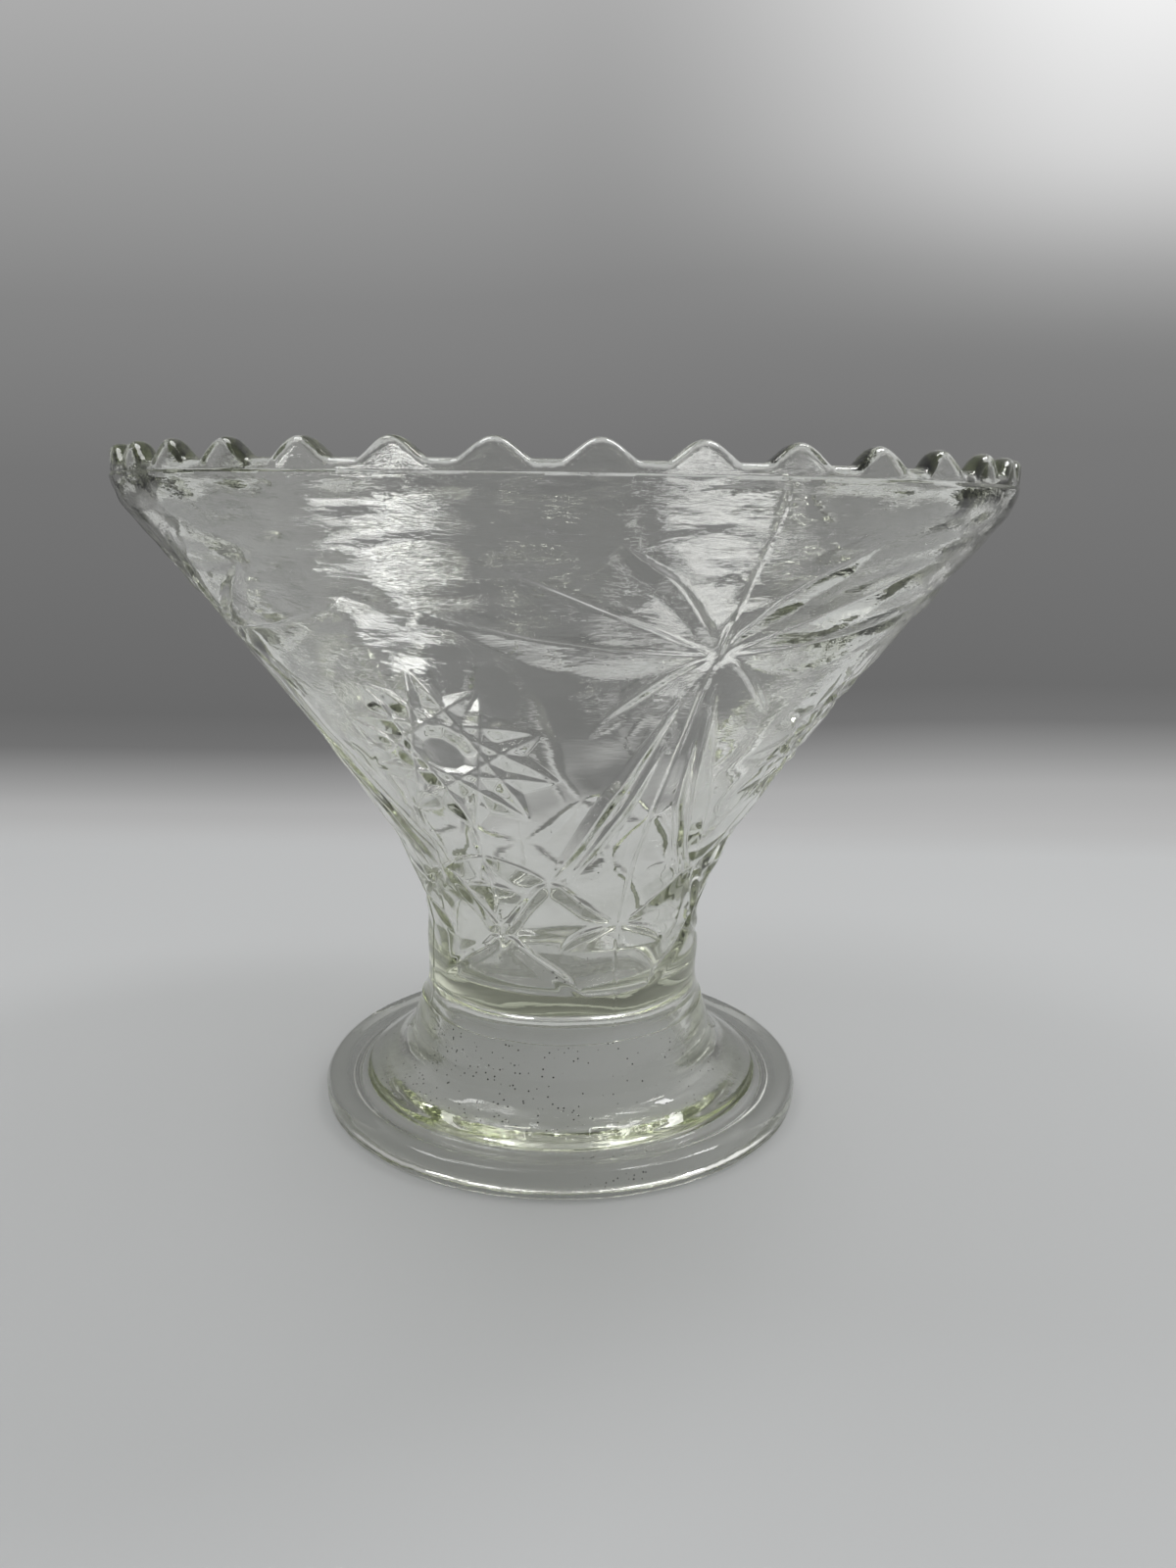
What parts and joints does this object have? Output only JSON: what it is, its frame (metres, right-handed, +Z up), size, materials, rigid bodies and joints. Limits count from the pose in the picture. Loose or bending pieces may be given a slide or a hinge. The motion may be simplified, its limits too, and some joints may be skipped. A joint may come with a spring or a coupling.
{
  "type": "pedestal bowl",
  "caption": "Deep flared pressed-glass bowl with a scalloped lip on a short waist and a hollow domed round foot.",
  "frame": {"origin": "middle of the ring that the foot stands on", "axes": "+Z up along the bowl's axis, -Y towards the camera of the picture"},
  "size_m": [0.2, 0.2, 0.1554],
  "materials": {
    "clear_glass": "fire-polished pressed glass with a faint green-grey edge colour"
  },
  "bodies": {
    "root": {"bowl": "clear_glass", "pedestal_foot": "clear_glass"}
  },
  "joints": []
}
